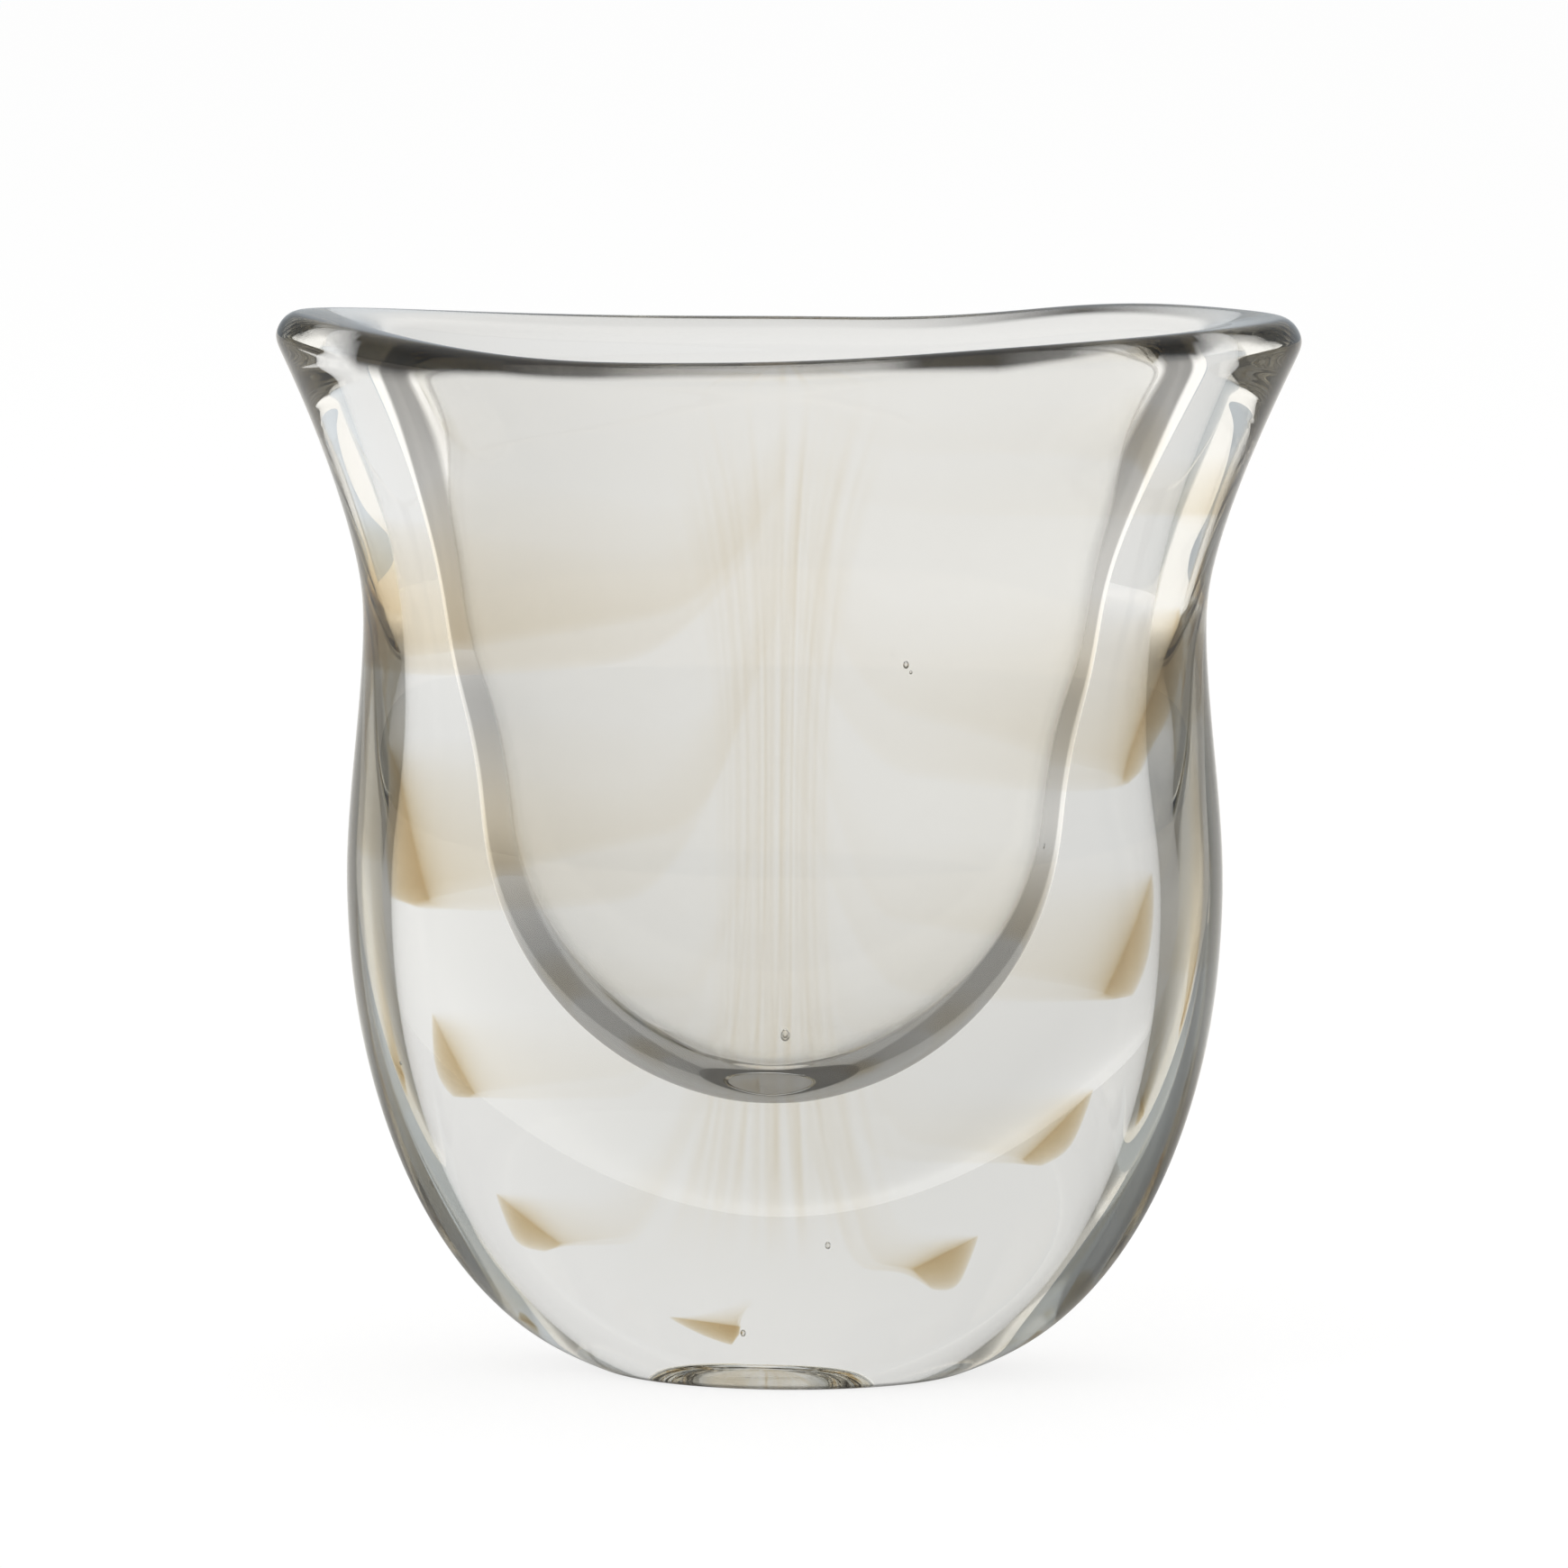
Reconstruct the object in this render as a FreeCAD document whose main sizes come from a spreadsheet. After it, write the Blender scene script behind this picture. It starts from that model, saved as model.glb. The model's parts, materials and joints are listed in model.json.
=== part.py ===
import FreeCAD, Part

import math
import os

from FreeCAD import Vector

# A flattened vase of thick clear glass with a combed amber trail inside its wall.
# Three layers of glass were gathered one over the other while hot: an inner gather that
# holds the pocket, an amber trail wound on it as a spiral, and an outer casing over both.
# Frame: +Z up, the wide axis along X, the front faces -Y, the origin under the middle of
# the foot. All sizes are in millimetres.

SIZES = [
    # Outside: heights of the three stretches of the outline, one on top of the other
    ("belly_rise", 86.0, "foot to widest part of the belly"),
    ("waist_rise", 52.0, "belly to waist"),
    ("flare_rise", 47.0, "waist to the start of the lip"),
    ("lip_rise", 5.0, "start of the lip to its crest"),
    # Outside: half widths along X and half depths along Y
    ("foot_half_width", 26.0, "round bottom before grinding, half along X"),
    ("foot_half_depth", 20.0, "round bottom before grinding, half along Y"),
    ("belly_half_width", 78.5, "belly, half along X"),
    ("belly_half_depth", 38.0, "belly, half along Y"),
    ("waist_half_width", 75.0, "waist, half along X"),
    ("waist_half_depth", 33.0, "waist, half along Y"),
    ("mouth_half_width", 92.0, "mouth, half along X"),
    ("mouth_half_depth", 37.0, "mouth, half along Y"),
    # The lip is tooled into a saddle: its ends stand higher than its middle
    ("lip_saddle", 3.9, "how far the middle of the lip lies under its ends"),
    ("lip_lean", 1.6, "how much of the saddle moves to the left side"),
    ("lip_half_wall_width", 4.5, "outer edge of the lip to its crest, along X"),
    ("lip_half_wall_depth", 3.6, "outer edge of the lip to its crest, along Y"),
    # Foot: ground flat, with a shallow hollow polished where the punty was broken off
    ("foot_ground_off", 0.6, "glass ground off under the foot"),
    ("hollow_radius", 19.5, "radius of the ground hollow"),
    ("hollow_depth", 3.6, "depth of the ground hollow"),
    ("hollow_shoulder", 3.2, "rounding where the hollow's wall meets its ceiling"),
    ("hollow_off_centre", 3.6, "how far the hollow lies left of the middle"),
    # Casing: how thick the outer layer lies over the gather
    ("casing_under", 8.4, "casing under the gather"),
    ("casing_belly_side", 12.2, "casing at the belly, at the narrow sides"),
    ("casing_belly_face", 7.5, "casing at the belly, at the broad faces"),
    ("casing_lip", 3.0, "casing from the waist up"),
    # Gather: its wall round the pocket, and the solid glass under the pocket
    ("gather_shoulder_drop", 14.0, "above the belly, where the round end of the gather starts"),
    ("floor_thickness", 42.5, "solid glass of the gather under the pocket"),
    ("wall_side", 14.6, "gather's wall beside the pocket, at the narrow sides"),
    ("wall_face", 7.0, "gather's wall before and behind the pocket"),
    ("wall_lip_face", 4.2, "gather's wall before and behind the pocket, at the lip"),
    ("pocket_shoulder_drop", 19.0, "above the belly, where the round end of the pocket starts"),
    # Hand work is never quite true: the layers hang a little to the left
    ("gather_off_centre", 4.5, "how far the foot of the gather lies left of the middle"),
    ("pocket_off_centre", 2.2, "how far the pocket lies left of the middle"),
    # Amber trail
    ("trail_side_depth", 4.2, "how deep a swag lies at its lower edge, at the narrow sides"),
    ("trail_face_depth", 1.3, "how deep a swag lies at its lower edge, on the broad faces"),
    ("trail_feather", 0.6, "how deep a swag lies at its upper edge"),
    ("comb_gap", 1.6, "clear glass on each side of a comb line"),
    ("comb_reach", 29.0, "how far from its line the comb draws a swag up"),
    # One overrun serves all cuts
    ("overrun", 2.0, "how far a cutting solid stands past what it cuts"),
]

# Steps of the rounded lower outline, as angles of a quarter ellipse, in degrees
LOWER_ANGLES = [0, 12, 28, 48, 68, 90]
# Steps of a stretch between two heights, as shares of its rise
UPPER_SHARES = [0.5, 1]
FLARE_SHARES = [0.25, 0.5, 0.75, 0.92]
# Steps over the lip, as angles of a quarter ellipse, in degrees
LIP_ANGLES = [0, 30, 60]
# The casing ends on the lip here, just outside the crest
PARTING_ANGLE = 75
# Round ends inside the glass start at this angle, so each closes with a small flat
CLOSING_ANGLE = 7
# The flare opens faster towards the lip: the power of its share of the rise
FLARE_POWER = 1.4
# Points round one ring
RING_POINTS = 16

# The amber swags in the order of the spiral, from the mouth down. Each has its side, the
# height of its middle and half its own height at the narrow edge as shares of the whole
# height, and the rise of its comb as a share of the whole height.
SWAG_SHARES = [
    ("amber_swag_right_1", 1, 0.868, 0.030, 0.045),
    ("amber_swag_left_1", -1, 0.752, 0.074, 0.110),
    ("amber_swag_right_2", 1, 0.655, 0.072, 0.170),
    ("amber_swag_left_2", -1, 0.522, 0.062, 0.235),
    ("amber_swag_right_3", 1, 0.420, 0.046, 0.260),
    ("amber_swag_left_3", -1, 0.308, 0.034, 0.270),
    ("amber_swag_right_4", 1, 0.240, 0.029, 0.240),
    ("amber_swag_left_4", -1, 0.150, 0.025, 0.250),
    ("amber_swag_right_5", 1, 0.107, 0.017, 0.200),
    ("amber_tail", -1, 0.064, 0.012, 0.110),
]
# How far a swag thins from its middle to its tip, as shares of its height and depth there
TIP_HEIGHT_SHARE = 0.35
TIP_DEPTH_SHARE = 0.4
# Rows of a swag's section, as shares from its lower edge to its upper
FIN_SHARES = [0, 0.35, 0.7, 1]
# Sections along half a swag
SWAG_STEPS = 5

doc = FreeCAD.newDocument("fan_vase")
sheet = doc.addObject("Spreadsheet::Sheet", "sizes")
for row, (alias, value, meaning) in enumerate(SIZES, start=1):
    sheet.set("A%d" % row, meaning)
    sheet.set("B%d" % row, str(value))
    sheet.setAlias("B%d" % row, alias)
doc.recompute()


def size(alias):
    """Read one driving dimension from the sheet."""
    return float(sheet.get(alias))


def mix(start, end, share):
    return start + (end - start) * share


def ease(share):
    """Go from 0 to 1 with no slope at either end."""
    return (1 - math.cos(math.pi * min(max(share, 0), 1))) / 2


# Heights
blank_bottom = -size("foot_ground_off")
belly_height = size("belly_rise")
waist_height = belly_height + size("waist_rise")
lip_height = waist_height + size("flare_rise")
vase_height = lip_height + size("lip_rise")


# The outside


def outer_half(height, axis):
    """Half the outside at a height, along X for axis "width" and along Y for "depth"."""
    foot = size("foot_half_" + axis)
    belly = size("belly_half_" + axis)
    waist = size("waist_half_" + axis)
    mouth = size("mouth_half_" + axis)
    if height <= belly_height:
        drop = (belly_height - height) / (belly_height - blank_bottom)
        return foot + (belly - foot) * math.sqrt(1 - drop * drop)
    if height <= waist_height:
        share = (height - belly_height) / size("waist_rise")
        return mix(belly, waist, ease(share))
    share = min((height - waist_height) / size("flare_rise"), 1)
    return mix(waist, mouth, share ** FLARE_POWER)


def lip_lift(height, angle):
    """How far the tooled mouth moves a point up or down. It fades out at the waist."""
    if height <= waist_height or height > vase_height:
        return 0.0
    fade = ((height - waist_height) / (vase_height - waist_height)) ** 2
    middle = math.sin(angle) ** 2
    wave = size("lip_lean") * math.cos(angle) - size("lip_saddle")
    return fade * middle * wave


def ring_point(half_width, half_depth, height, angle, centre=0.0):
    """A point of the oval at one height, which follows the wave of the mouth."""
    return Vector(
        centre + half_width * math.cos(angle),
        half_depth * math.sin(angle),
        height + lip_lift(height, angle),
    )


def ring(half_width, half_depth, height, centre=0.0):
    """Control points of a closed oval round the vase. They stand a little outside it."""
    step = 2 * math.pi / RING_POINTS
    outside = 3 / (2 + math.cos(step))
    return [
        ring_point(half_width * outside, half_depth * outside, height, step * index, centre)
        for index in range(RING_POINTS)
    ]


def skin(rings, first=0, last=-1):
    """The smooth surface through a stack of rings, from the first of them to the last."""
    lengths = [0.0]
    for lower, upper in zip(rings, rings[1:]):
        lengths.append(lengths[-1] + upper[0].distanceToPoint(lower[0]))
    columns = []
    for points in zip(*rings):
        column = Part.BSplineCurve()
        column.interpolate(Points=list(points), Parameters=lengths)
        column.segment(lengths[first], lengths[last])
        columns.append(column)
    surface = Part.BSplineSurface()
    surface.buildFromPolesMultsKnots(
        [column.getPoles() for column in columns],
        [1] * (RING_POINTS + 1),
        columns[0].getMultiplicities(),
        list(range(RING_POINTS + 1)),
        columns[0].getKnots(),
        True,
        False,
        3,
        3,
    )
    return surface


def closed_solid(faces):
    shell = Part.makeShell(faces)
    shell.sewShape()
    solid = Part.makeSolid(shell)
    if solid.Volume < 0:
        solid.reverse()
    return solid


def layer_solid(outside, inside):
    """A layer of glass between two skins that meet at the lip, with a flat cap under each."""
    faces = [outside.toShape(), inside.toShape()]
    caps = []
    for face in faces:
        rims = [edge for edge in face.Edges if edge.isClosed()]
        rim = min(rims, key=lambda edge: edge.BoundBox.ZMin)
        caps.append(Part.Face(Part.Wire([rim])))
    return closed_solid(faces + caps)


# The gather and the pocket, both worked out from the outside inwards


def casing(height, axis):
    """Thickness of the outer casing: thick at the belly, thin from the waist up."""
    belly = size("casing_belly_side" if axis == "width" else "casing_belly_face")
    share = (height - gather_shoulder) / (waist_height - gather_shoulder)
    return mix(belly, size("casing_lip"), ease(share))


def wall(height, axis):
    """Thickness of the gather beside the pocket."""
    if axis == "width":
        return size("wall_side")
    share = min(max((height - waist_height) / size("flare_rise"), 0), 1)
    return mix(size("wall_face"), size("wall_lip_face"), share)


def round_end(half, bottom, shoulder, height):
    """Half a round-ended body at a height between its bottom and its shoulder."""
    drop = (shoulder - height) / (shoulder - bottom)
    return half * math.sqrt(max(1 - drop * drop, 0))


gather_bottom = size("casing_under")
gather_shoulder = belly_height + size("gather_shoulder_drop")
pocket_floor = gather_bottom + size("floor_thickness")
pocket_shoulder = belly_height + size("pocket_shoulder_drop")


def gather_half(height, axis):
    if height >= gather_shoulder:
        return outer_half(height, axis) - casing(height, axis)
    shoulder_half = outer_half(gather_shoulder, axis) - casing(gather_shoulder, axis)
    return round_end(shoulder_half, gather_bottom, gather_shoulder, height)


def pocket_half(height, axis):
    if height >= pocket_shoulder:
        return gather_half(height, axis) - wall(height, axis)
    shoulder_half = gather_half(pocket_shoulder, axis) - wall(pocket_shoulder, axis)
    return round_end(shoulder_half, pocket_floor, pocket_shoulder, height)


def centred(height):
    return 0.0


def gather_centre(height):
    """The gather leans to the left from its shoulder down."""
    return -size("gather_off_centre") * (1 - ease(height / gather_shoulder))


def pocket_centre(height):
    """The pocket leaves the middle between the lip and the waist."""
    return -size("pocket_off_centre") * ease((lip_height - height) / size("flare_rise"))


def rings_at(half_at, heights, centre_at=centred):
    return [ring(half_at(h, "width"), half_at(h, "depth"), h, centre_at(h)) for h in heights]


def round_heights(bottom, shoulder, angles):
    """Heights of the steps of a quarter ellipse that opens upwards from bottom."""
    return [bottom + (shoulder - bottom) * (1 - math.cos(math.radians(a))) for a in angles]


def stretch_heights(start, end, shares):
    return [mix(start, end, share) for share in shares]


flare_heights = stretch_heights(waist_height, lip_height, FLARE_SHARES)
inner_angles = [CLOSING_ANGLE] + LOWER_ANGLES[1:]

# The wall of the vase: up the outside, over the lip and down into the pocket
outer_rings = rings_at(outer_half, round_heights(blank_bottom, belly_height, LOWER_ANGLES))
outer_rings += rings_at(outer_half, stretch_heights(belly_height, waist_height, UPPER_SHARES))
outer_rings += rings_at(outer_half, flare_heights)


def lip_ring(angle, outward):
    """A ring of the rounded lip, from 0 degrees at its foot to 90 at its crest."""
    halves = []
    for axis in ("width", "depth"):
        crest = size("mouth_half_" + axis) - size("lip_half_wall_" + axis)
        side = size("mouth_half_" + axis) if outward else pocket_half(lip_height, axis)
        halves.append(crest + (side - crest) * math.cos(math.radians(angle)))
    return ring(*halves, lip_height + size("lip_rise") * math.sin(math.radians(angle)))


outer_rings += [lip_ring(angle, True) for angle in LIP_ANGLES + [PARTING_ANGLE]]

inner_rings = [lip_ring(90, True)] + [lip_ring(angle, False) for angle in LIP_ANGLES[::-1]]
pocket_heights = flare_heights[::-1] + [waist_height, mix(waist_height, pocket_shoulder, 0.5)]
pocket_heights += round_heights(pocket_floor, pocket_shoulder, inner_angles)[::-1]
inner_rings += rings_at(pocket_half, pocket_heights, pocket_centre)

# The seam where casing and gather are fused, from under the gather up to the parting line
seam_heights = round_heights(gather_bottom, gather_shoulder, inner_angles)
seam_heights += stretch_heights(gather_shoulder, waist_height, UPPER_SHARES)
seam_heights += flare_heights + [lip_height]
seam_rings = rings_at(gather_half, seam_heights, gather_centre) + [outer_rings[-1]]

# One smooth wall, taken apart at the parting line, and the seam between its two parts
wall_rings = outer_rings + inner_rings
parting = len(outer_rings) - 1
outer_skin = skin(wall_rings, 0, parting)
inner_skin = skin(wall_rings, parting, -1)
seam_skin = skin(seam_rings)

casing_blank = doc.addObject("Part::Feature", "casing_blank")
casing_blank.Shape = layer_solid(outer_skin, seam_skin)
gather_blank = doc.addObject("Part::Feature", "gather_blank")
gather_blank.Shape = layer_solid(seam_skin, inner_skin)


# What is ground off: the flat under the foot, and the polished hollow in its middle

flat_tool = doc.addObject("Part::Box", "flat_tool")
flat_tool.setExpression("Length", "2 * sizes.mouth_half_width")
flat_tool.setExpression("Width", "2 * sizes.mouth_half_depth")
flat_tool.setExpression("Height", "sizes.foot_ground_off + sizes.overrun")
flat_tool.setExpression("Placement.Base.x", "-sizes.mouth_half_width")
flat_tool.setExpression("Placement.Base.y", "-sizes.mouth_half_depth")
flat_tool.setExpression("Placement.Base.z", "-sizes.foot_ground_off - sizes.overrun")

hollow_blank = doc.addObject("Part::Cylinder", "hollow_blank")
hollow_blank.setExpression("Radius", "sizes.hollow_radius")
hollow_blank.setExpression("Height", "sizes.hollow_depth + sizes.overrun")
hollow_blank.setExpression("Placement.Base.x", "-sizes.hollow_off_centre")
hollow_blank.setExpression("Placement.Base.z", "-sizes.overrun")
doc.recompute()

hollow_tool = doc.addObject("Part::Fillet", "hollow_tool")
hollow_tool.Base = hollow_blank
ceiling = max(hollow_blank.Shape.Edges, key=lambda edge: edge.CenterOfMass.z)
ceiling_index = [edge.isSame(ceiling) for edge in hollow_blank.Shape.Edges].index(True) + 1
hollow_tool.Edges = [(ceiling_index, size("hollow_shoulder"), size("hollow_shoulder"))]


# Amber swags, each a shark-fin section drawn along the gather from the front comb line,
# round the narrow edge, to the back comb line


def seam_place(angle, height):
    """The point of the seam at an angle and a height, and its outward direction there."""
    halves = gather_half(height, "width"), gather_half(height, "depth")
    near = ring_point(*halves, height, angle, gather_centre(height))
    place = seam_skin.parameter(near)
    outward = seam_skin.normal(*place)
    if outward.dot(Vector(near.x, near.y, 0)) < 0:
        outward = -outward
    return seam_skin.value(*place), outward


def swag_corners(side, angle, middle, half_height, lower_depth, upper_depth):
    """A fin that crosses the gather's face and lies deepest in it at its lower edge."""
    turned = angle if side > 0 else math.pi - angle
    inner, outer = [], []
    for share in FIN_SHARES:
        point, outward = seam_place(turned, middle + mix(-half_height, half_height, share))
        inner.append(point - outward * mix(lower_depth, upper_depth, share))
        outer.append(point + outward * size("overrun"))
    return inner + outer[::-1]


def smooth_edge(points):
    curve = Part.BSplineCurve()
    curve.interpolate(Points=points, Parameters=[float(index) for index in range(len(points))])
    return curve.toShape()


def fin_end(corners):
    """Flat triangles that close a swag's tip."""
    faces = []
    for row in range(len(FIN_SHARES) - 1):
        low_in, high_in = corners[row], corners[row + 1]
        low_out, high_out = corners[-row - 1], corners[-row - 2]
        for triangle in ((low_in, high_in, high_out), (low_in, high_out, low_out)):
            faces.append(Part.Face(Part.makePolygon([*triangle, triangle[0]])))
    return faces


def swag_solid(side, middle, half_height, rise):
    edge_half = gather_half(middle, "width")
    reach = min(size("comb_reach"), edge_half)
    tip_angle = math.acos(size("comb_gap") / edge_half)
    sections = []
    for step in range(-SWAG_STEPS, SWAG_STEPS + 1):
        angle = tip_angle * math.sin(math.pi / 2 * step / SWAG_STEPS)
        from_line = edge_half * math.cos(angle)
        pull = max(1 - from_line / reach, 0)
        thin = abs(step / SWAG_STEPS) ** 3
        narrow_side = math.cos(math.pi / 2 * step / SWAG_STEPS) ** 2
        depth = mix(size("trail_face_depth"), size("trail_side_depth"), narrow_side)
        sections.append(swag_corners(
            side,
            angle,
            middle + rise * pull ** 2,
            half_height * mix(1, TIP_HEIGHT_SHARE, thin),
            depth * mix(1, TIP_DEPTH_SHARE, thin),
            size("trail_feather") * mix(1, TIP_DEPTH_SHARE, thin),
        ))
    rails = [smooth_edge(list(points)) for points in zip(*sections)]
    sides = [Part.makeRuledSurface(rail, after) for rail, after in zip(rails, rails[1:] + rails[:1])]
    ends = [end_face for corners in (sections[0], sections[-1]) for end_face in fin_end(corners)]
    return closed_solid(sides + ends)


swag_tools = []
for name, side, middle_share, half_share, rise_share in SWAG_SHARES:
    tool = doc.addObject("Part::Feature", name + "_tool")
    tool.Shape = swag_solid(
        side,
        middle_share * vase_height,
        half_share * vase_height,
        rise_share * vase_height,
    )
    swag_tools.append(tool)


# The finished pieces


def cut(label, base, tool):
    piece = doc.addObject("Part::Cut", label)
    piece.Base = base
    piece.Tool = tool
    return piece


def common(label, base, tool):
    piece = doc.addObject("Part::Common", label)
    piece.Base = base
    piece.Tool = tool
    return piece


ground_casing = cut("ground_casing", casing_blank, flat_tool)
outer_casing = cut("outer_casing", ground_casing, hollow_tool)

all_swags = doc.addObject("Part::MultiFuse", "all_swags")
all_swags.Shapes = swag_tools
inner_gather = cut("inner_gather", gather_blank, all_swags)

pieces = [outer_casing, inner_gather]
for (name, *_), tool in zip(SWAG_SHARES, swag_tools):
    pieces.append(common(name, gather_blank, tool))
for piece in pieces:
    piece.Label = piece.Name
doc.recompute()


# Check everything, then write one file for each piece

for item in doc.Objects:
    if "Invalid" in item.State or "Error" in item.State:
        raise RuntimeError("%s did not build" % item.Name)

os.makedirs("parts", exist_ok=True)
for piece in pieces:
    shape = piece.Shape
    if shape.isNull() or not shape.isValid() or len(shape.Solids) != 1:
        raise RuntimeError("%s is not one valid solid" % piece.Label)
    print("%-22s %8.1f mm3, %d faces" % (piece.Label, shape.Volume, len(shape.Faces)))
for piece in pieces:
    piece.Shape.exportStep("parts/%s.step" % piece.Label)
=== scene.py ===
# %% [markdown]
# # A fan vase of cased glass
#
# The vase is blown in three layers: an inner gather that holds the pocket, an amber trail that was
# wound on the gather and combed, and a clear casing over both. Glass has no colour of its own to
# paint, so this lesson is about form and about what the glass looks through: each surface has to be
# smooth, the layers have to be really there, and there have to be dark lines, painted as shade,
# where the dark parts of a studio put them. The imported model is loaded first, because every piece
# is fitted to it.

# %% Load the frame
import json
import math
import random

import bpy
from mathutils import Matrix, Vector

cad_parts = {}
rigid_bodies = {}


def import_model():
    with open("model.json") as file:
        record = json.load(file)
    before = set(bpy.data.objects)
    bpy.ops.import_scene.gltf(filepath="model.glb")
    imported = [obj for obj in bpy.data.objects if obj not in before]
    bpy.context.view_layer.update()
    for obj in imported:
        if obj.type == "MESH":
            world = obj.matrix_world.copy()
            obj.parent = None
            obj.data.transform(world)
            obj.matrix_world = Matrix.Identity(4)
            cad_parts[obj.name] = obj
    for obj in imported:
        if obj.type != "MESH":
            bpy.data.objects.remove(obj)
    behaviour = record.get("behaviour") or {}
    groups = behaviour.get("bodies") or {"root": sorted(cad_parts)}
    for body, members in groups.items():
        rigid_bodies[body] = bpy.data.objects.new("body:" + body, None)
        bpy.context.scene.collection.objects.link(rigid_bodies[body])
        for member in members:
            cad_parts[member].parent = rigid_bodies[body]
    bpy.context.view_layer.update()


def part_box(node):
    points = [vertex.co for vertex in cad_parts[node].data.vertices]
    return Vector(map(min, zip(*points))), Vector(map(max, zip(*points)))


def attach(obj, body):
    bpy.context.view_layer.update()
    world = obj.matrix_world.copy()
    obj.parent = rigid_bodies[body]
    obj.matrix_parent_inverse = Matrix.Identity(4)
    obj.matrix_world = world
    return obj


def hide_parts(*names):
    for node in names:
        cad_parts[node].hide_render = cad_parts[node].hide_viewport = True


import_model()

# %% [markdown]
# ## Measures
#
# Lengths are in metres, as everywhere in Blender, and MM turns millimetres into them. What the
# frame can tell is read from it: the mouth from the casing's box and the height from the gather's.
# The rest are the measures of a vase like this one, from the foot up. The outline is round up to
# the belly, draws in to a waist and flares to the mouth, which leans a little to the right.

# %% Measures of the outside
MM = 0.001
vase_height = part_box("inner_gather")[1].z
mouth_off_centre = 0.65 * MM
mouth_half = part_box("outer_casing")[1].x - mouth_off_centre
lip_rise = 5 * MM
lip_height = vase_height - lip_rise
belly_height = 86 * MM
waist_height = 138 * MM
ground_off = 0.6 * MM

HALVES = {
    "foot": (26 * MM, 20 * MM),
    "belly": (78.5 * MM, 38 * MM),
    "waist": (75 * MM, 33 * MM),
    "mouth": (mouth_half, 37 * MM),
}
flare_power = 1.4


def mix(start, end, share):
    return start + (end - start) * share


def ease(share):
    """Go from 0 to 1 with no slope at either end."""
    share = min(max(share, 0), 1)
    return (1 - math.cos(math.pi * share)) / 2


def outer_half(height, axis):
    """Half the outside at a height, along X for axis 0 and along Y for axis 1."""
    foot, belly, waist, mouth = [HALVES[name][axis] for name in HALVES]
    if height <= belly_height:
        drop = (belly_height - height) / (belly_height + ground_off)
        return foot + (belly - foot) * math.sqrt(1 - drop * drop)
    if height <= waist_height:
        return mix(belly, waist, ease((height - belly_height) / (waist_height - belly_height)))
    share = min((height - waist_height) / (lip_height - waist_height), 1)
    return mix(waist, mouth, share ** flare_power)


print("belly %.0f mm wide, mouth %.0f mm" % (
    2000 * outer_half(belly_height, 0), 2000 * outer_half(lip_height, 0)))

# %% [markdown]
# The gather and the pocket follow from the outside: the casing is thick at the belly and thin at
# the lip, and the gather's wall keeps about the same thickness round the pocket. Below their
# shoulders both end in a quarter of an ellipse.

# %% Measures of the layers
casing_belly = (12.2 * MM, 7.5 * MM)
casing_lip = 3.0 * MM
gather_bottom = 8.4 * MM
gather_shoulder = 100 * MM
pocket_floor = 50.9 * MM
pocket_shoulder = 105 * MM
wall_side = 17.2 * MM
wall_face = 7.0 * MM
wall_lip_face = 4.2 * MM


def round_end(half, bottom, shoulder, height):
    drop = (shoulder - height) / (shoulder - bottom)
    return half * math.sqrt(max(1 - drop * drop, 0))


def gather_half(height, axis):
    if height < gather_shoulder:
        half = outer_half(gather_shoulder, axis) - casing_belly[axis]
        return round_end(half, gather_bottom, gather_shoulder, height)
    share = ease((height - gather_shoulder) / (waist_height - gather_shoulder))
    return outer_half(height, axis) - mix(casing_belly[axis], casing_lip, share)


def wall(height, axis):
    if axis == 0:
        return wall_side
    share = (height - waist_height) / (lip_height - waist_height)
    return mix(wall_face, wall_lip_face, min(max(share, 0), 1))


def pocket_half(height, axis):
    if height < pocket_shoulder:
        half = gather_half(pocket_shoulder, axis) - wall(pocket_shoulder, axis)
        return round_end(half, pocket_floor, pocket_shoulder, height)
    return gather_half(height, axis) - wall(height, axis)


# %% [markdown]
# Hand work is never quite true: the layers hang a little to the left inside the casing. A gaffer
# would call it a fault, but it is one of the things that tell blown glass from pressed glass.

# %% How far the layers hang to the left
gather_off_centre = 4.5 * MM
pocket_off_centre = 1.5 * MM
hollow_off_centre = 3.6 * MM


def outer_centre(height):
    return mouth_off_centre * ease((height - waist_height) / (lip_height - waist_height))


def gather_centre(height):
    return outer_centre(height) - gather_off_centre * (1 - ease(height / gather_shoulder))


def pocket_centre(height):
    share = ease((lip_height - height) / (lip_height - waist_height))
    return mix(mouth_off_centre, -pocket_off_centre, share)


print("the gather's foot lies %.1f mm off the middle" % (-1000 * gather_centre(0)))

# %% [markdown]
# ## The glass wall
#
# A glassblower's outline is one line: out from the foot, up the side, over the lip and down into
# the pocket. It is built the same way. A circle is added at the foot, and each ring is extruded
# from the last one, lifted and scaled to its own oval. Only a few rings are needed, because a
# Subdivision Surface rounds them afterwards. It also pulls every ring in a little, so the first
# circle starts that much larger.

# %% Rings by hand
SEGMENTS = 32
ROUNDING = 3 / (2 + math.cos(2 * math.pi / SEGMENTS))


def deselect():
    bpy.ops.object.select_all(action="DESELECT")


def first_ring(name, ring):
    """Add a circle and give it the first oval: half width, half depth, height and middle."""
    half_width, half_depth, height, middle = ring
    deselect()
    bpy.ops.mesh.primitive_circle_add(vertices=SEGMENTS, radius=ROUNDING)
    piece = bpy.context.object
    piece.name = piece.data.name = name
    bpy.ops.object.mode_set(mode="EDIT")
    bpy.ops.transform.resize(value=(half_width, half_depth, 1), center_override=(0, 0, 0))
    bpy.ops.transform.translate(value=(middle, 0, height))
    return piece


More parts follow.
